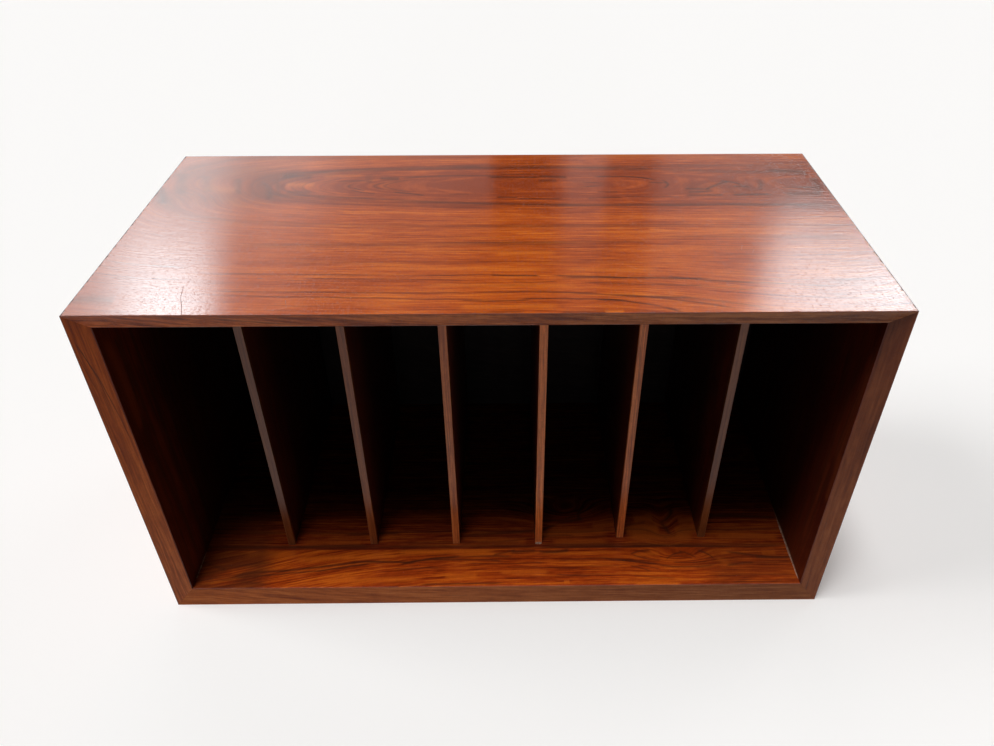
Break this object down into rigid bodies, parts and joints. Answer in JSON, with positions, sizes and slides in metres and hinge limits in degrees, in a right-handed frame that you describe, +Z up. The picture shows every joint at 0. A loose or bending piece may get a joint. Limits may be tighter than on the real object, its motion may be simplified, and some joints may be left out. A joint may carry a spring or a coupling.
{
  "type": "record storage stand",
  "caption": "Low open-fronted wooden box with mitred corners, an inward front bevel and loose upright dividers that make bays for record sleeves.",
  "frame": {"origin": "centre of the footprint, on the surface that the box stands on", "axes": "+X along the width, to the right of someone looking into the open front; +Y from the open front to the back; +Z up"},
  "size_m": [0.7, 0.325, 0.38],
  "materials": {
    "rosewood_veneer": "figured rosewood veneer under a glossy clear lacquer",
    "rosewood_solid": "straight-grained solid rosewood under a glossy clear lacquer",
    "board_core": "laminated softwood core, stained brown where its rear edges show",
    "tongue_wood": "bare beech",
    "back_plywood": "very dark stained plywood with a thin satin lacquer",
    "screw_steel": "dull zinc-plated steel"
  },
  "bodies": {
    "carcass": {"top_board": "board_core", "bottom_board": "board_core", "left_board": "board_core", "right_board": "board_core", "top_lipping": "rosewood_solid", "bottom_lipping": "rosewood_solid", "left_lipping": "rosewood_solid", "right_lipping": "rosewood_solid", "top_outer_veneer": "rosewood_veneer", "bottom_outer_veneer": "rosewood_veneer", "left_outer_veneer": "rosewood_veneer", "right_outer_veneer": "rosewood_veneer", "top_inner_veneer": "rosewood_veneer", "left_inner_veneer": "rosewood_veneer", "right_inner_veneer": "rosewood_veneer", "floor_front_leaf": "rosewood_veneer", "floor_rear_leaf": "rosewood_veneer", "bottom_left_tongue": "tongue_wood", "bottom_right_tongue": "tongue_wood", "top_left_tongue": "tongue_wood", "top_right_tongue": "tongue_wood", "back_panel": "back_plywood", "back_screws": "screw_steel"},
    "divider_1": {"divider_1_panel": "rosewood_veneer", "divider_1_edge": "rosewood_solid"},
    "divider_2": {"divider_2_panel": "rosewood_veneer", "divider_2_edge": "rosewood_solid"},
    "divider_3": {"divider_3_panel": "rosewood_veneer", "divider_3_edge": "rosewood_solid"},
    "divider_4": {"divider_4_panel": "rosewood_veneer", "divider_4_edge": "rosewood_solid"},
    "divider_5": {"divider_5_panel": "rosewood_veneer", "divider_5_edge": "rosewood_solid"},
    "divider_6": {"divider_6_panel": "rosewood_veneer", "divider_6_edge": "rosewood_solid"}
  },
  "joints": [
    {"name": "divider_1_slide", "type": "slide", "parent": "carcass", "child": "divider_1", "axis": [0, 1, 0], "range_m": [0, 0.007]},
    {"name": "divider_2_slide", "type": "slide", "parent": "carcass", "child": "divider_2", "axis": [0, 1, 0], "range_m": [0, 0.007]},
    {"name": "divider_3_slide", "type": "slide", "parent": "carcass", "child": "divider_3", "axis": [0, 1, 0], "range_m": [0, 0.007]},
    {"name": "divider_4_slide", "type": "slide", "parent": "carcass", "child": "divider_4", "axis": [0, 1, 0], "range_m": [0, 0.007]},
    {"name": "divider_5_slide", "type": "slide", "parent": "carcass", "child": "divider_5", "axis": [0, 1, 0], "range_m": [-0.007, 0]},
    {"name": "divider_6_slide", "type": "slide", "parent": "carcass", "child": "divider_6", "axis": [0, 1, 0], "range_m": [-0.007, 0]}
  ]
}
